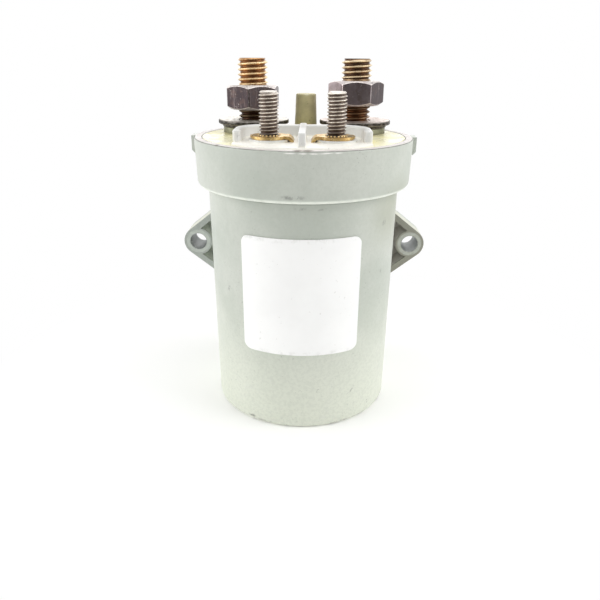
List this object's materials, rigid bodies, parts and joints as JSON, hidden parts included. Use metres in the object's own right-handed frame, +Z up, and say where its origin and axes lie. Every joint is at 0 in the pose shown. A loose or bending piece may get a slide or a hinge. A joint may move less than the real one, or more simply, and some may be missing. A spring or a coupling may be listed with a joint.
{
  "type": "high voltage dc contactor",
  "caption": "Sealed cylindrical dc contactor with side mounting ears, threaded power and coil terminals on its potted top, and a solenoid-lifted contact bridge inside.",
  "frame": {"origin": "centre of the flat base of the housing", "axes": "+Z up along the housing's axis, +Y towards the mounting face of the ears, +X to the right seen from the coil terminals' side"},
  "size_m": [0.076, 0.0573, 0.0933],
  "materials": {
    "housing_plastic": "satin moulded plastic",
    "label_film": "matte film",
    "epoxy": "cast epoxy",
    "platform_plastic": "moulded plastic",
    "stud_copper": "turned copper alloy",
    "washer_steel": "dull plated steel",
    "nut_steel": "dark plated steel",
    "strap_brass": "stamped brass",
    "coil_stud_steel": "plated steel",
    "cap_plastic": "moulded plastic",
    "copper": "plain copper",
    "insulator": "moulded insulator",
    "spring_steel": "spring wire",
    "magnet_iron": "plated soft iron",
    "sleeve_steel": "drawn stainless",
    "bobbin_plastic": "moulded plastic",
    "winding_copper": "enamelled wire",
    "lead_insulation": "wire insulation"
  },
  "bodies": {
    "contactor": {"housing": "housing_plastic", "label": "label_film", "potting": "epoxy", "coil_terminal_platform": "platform_plastic", "power_stud_left": "stud_copper", "power_stud_right": "stud_copper", "lower_washer_left": "washer_steel", "lower_washer_right": "washer_steel", "flat_washer_left": "washer_steel", "flat_washer_right": "washer_steel", "coil_strap_left": "strap_brass", "coil_strap_right": "strap_brass", "coil_stud_left": "coil_stud_steel", "coil_stud_right": "coil_stud_steel", "fill_tube": "copper", "fill_tube_cap": "cap_plastic", "header_plate": "insulator", "contact_chamber": "insulator", "fixed_contact_left": "copper", "fixed_contact_right": "copper", "core": "magnet_iron", "pole_plate": "magnet_iron", "yoke_cup": "magnet_iron", "guide_sleeve": "sleeve_steel", "bobbin": "bobbin_plastic", "coil_winding": "winding_copper", "coil_lead_left": "lead_insulation", "coil_lead_right": "lead_insulation"},
    "armature": {"plunger": "magnet_iron", "actuator_shaft": "sleeve_steel", "spring_seat": "spring_steel", "retaining_clip": "spring_steel", "return_spring": "spring_steel", "contact_spring": "spring_steel"},
    "contact_bridge": {"contact_bridge": "copper"},
    "left_nut": {"power_nut_left": "nut_steel"},
    "right_nut": {"power_nut_right": "nut_steel"}
  },
  "joints": [
    {"name": "armature_lift", "type": "slide", "parent": "contactor", "child": "armature", "axis": [0, 0, 1], "range_m": [0, 0.002], "stiffness_N_per_m": 1500, "springref_m": -0.004, "deforming": ["return_spring"]},
    {"name": "bridge_overtravel", "type": "slide", "parent": "armature", "child": "contact_bridge", "axis": [0, 0, 1], "range_m": [-0.0007, 0], "deforming": ["contact_spring"]},
    {"name": "left_nut_turn", "type": "hinge", "parent": "contactor", "child": "left_nut", "pos_m": [-0.01385, 0.0082, 0.0836], "axis": [0, 0, 1], "continuous": true},
    {"name": "right_nut_turn", "type": "hinge", "parent": "contactor", "child": "right_nut", "pos_m": [0.01385, 0.0082, 0.0848], "axis": [0, 0, 1], "continuous": true}
  ],
  "couplings": [
    {"joint": "bridge_overtravel", "follows": "armature_lift", "ratio": -0.35}
  ]
}
